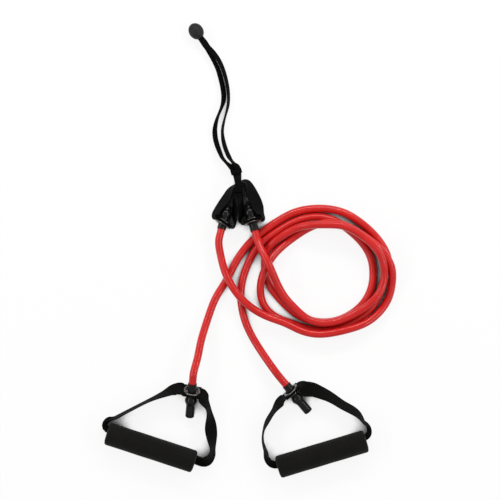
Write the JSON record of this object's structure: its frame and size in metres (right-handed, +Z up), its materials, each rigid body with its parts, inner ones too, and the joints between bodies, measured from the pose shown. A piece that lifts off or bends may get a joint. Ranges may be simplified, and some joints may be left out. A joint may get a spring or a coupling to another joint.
{
  "type": "resistance tube",
  "caption": "Exercise set: hollow elastic tubes, coiled together, joined in a webbing yoke with a door anchor, each ending in a hand loop with a foam grip.",
  "frame": {"origin": "middle of the set's outline without its two tubes, on the surface that it lies on", "axes": "+Y towards the door anchor's ball, away from the grips; +Z up, away from the surface"},
  "size_m": [0.4258, 0.6583, 0.0357],
  "materials": {
    "red_elastic": "satin translucent-looking red latex",
    "black_sleeve": "glossy shrink sleeve",
    "black_stopper": "satin moulded plastic",
    "dark_metal": "gunmetal plating, bright where worn",
    "black_webbing": "woven nylon webbing",
    "black_foam": "matt closed-cell foam",
    "black_plastic": "matt moulded plastic",
    "black_rubber": "matt moulded rubber"
  },
  "bodies": {
    "tubes_and_yoke": {"left_tube": "red_elastic", "right_tube": "red_elastic", "left_yoke_sleeve": "black_sleeve", "left_yoke_stopper": "black_stopper", "left_yoke_eyelet": "dark_metal", "left_yoke_washer": "dark_metal", "left_loop_sleeve": "black_sleeve", "left_loop_stopper": "black_stopper", "right_yoke_sleeve": "black_sleeve", "right_yoke_stopper": "black_stopper", "right_yoke_eyelet": "dark_metal", "right_yoke_washer": "dark_metal", "right_loop_sleeve": "black_sleeve", "right_loop_stopper": "black_stopper", "yoke_webbing_outer": "black_webbing", "yoke_webbing_inner": "black_webbing", "anchor_hitch": "black_webbing", "hitch_wrap": "black_webbing"},
    "door_anchor": {"anchor_strap": "black_webbing", "anchor_ball": "black_rubber"},
    "left_hand_loop": {"left_loop_webbing": "black_webbing", "left_loop_eyelet": "dark_metal", "left_loop_washer": "dark_metal"},
    "left_grip": {"left_foam_grip": "black_foam", "left_grip_core": "black_plastic"},
    "right_hand_loop": {"right_loop_webbing": "black_webbing", "right_loop_eyelet": "dark_metal", "right_loop_washer": "dark_metal"},
    "right_grip": {"right_foam_grip": "black_foam", "right_grip_core": "black_plastic"}
  },
  "joints": [
    {"name": "left_hand_loop_swivel", "type": "hinge", "parent": "tubes_and_yoke", "child": "left_hand_loop", "pos_m": [-0.0655, -0.2056, 0.018], "axis": [-0.0862, -0.9471, -0.309], "range_deg": [-140, 170]},
    {"name": "right_hand_loop_swivel", "type": "hinge", "parent": "tubes_and_yoke", "child": "right_hand_loop", "pos_m": [0.0789, -0.2053, 0.0134], "axis": [0.6365, -0.7586, -0.1392], "continuous": true},
    {"name": "left_grip_spin", "type": "hinge", "parent": "left_hand_loop", "child": "left_grip", "pos_m": [-0.1247, -0.2868, 0.0165], "axis": [0.9505, -0.3107, 0], "continuous": true},
    {"name": "right_grip_spin", "type": "hinge", "parent": "right_hand_loop", "child": "right_grip", "pos_m": [0.1229, -0.2961, 0.0165], "axis": [0.9578, 0.2874, 0], "continuous": true},
    {"name": "door_anchor_fold", "type": "hinge", "parent": "tubes_and_yoke", "child": "door_anchor", "pos_m": [0.0018, 0.11835, 0.01305], "axis": [1, 0, 0], "range_deg": [0, 90]}
  ]
}
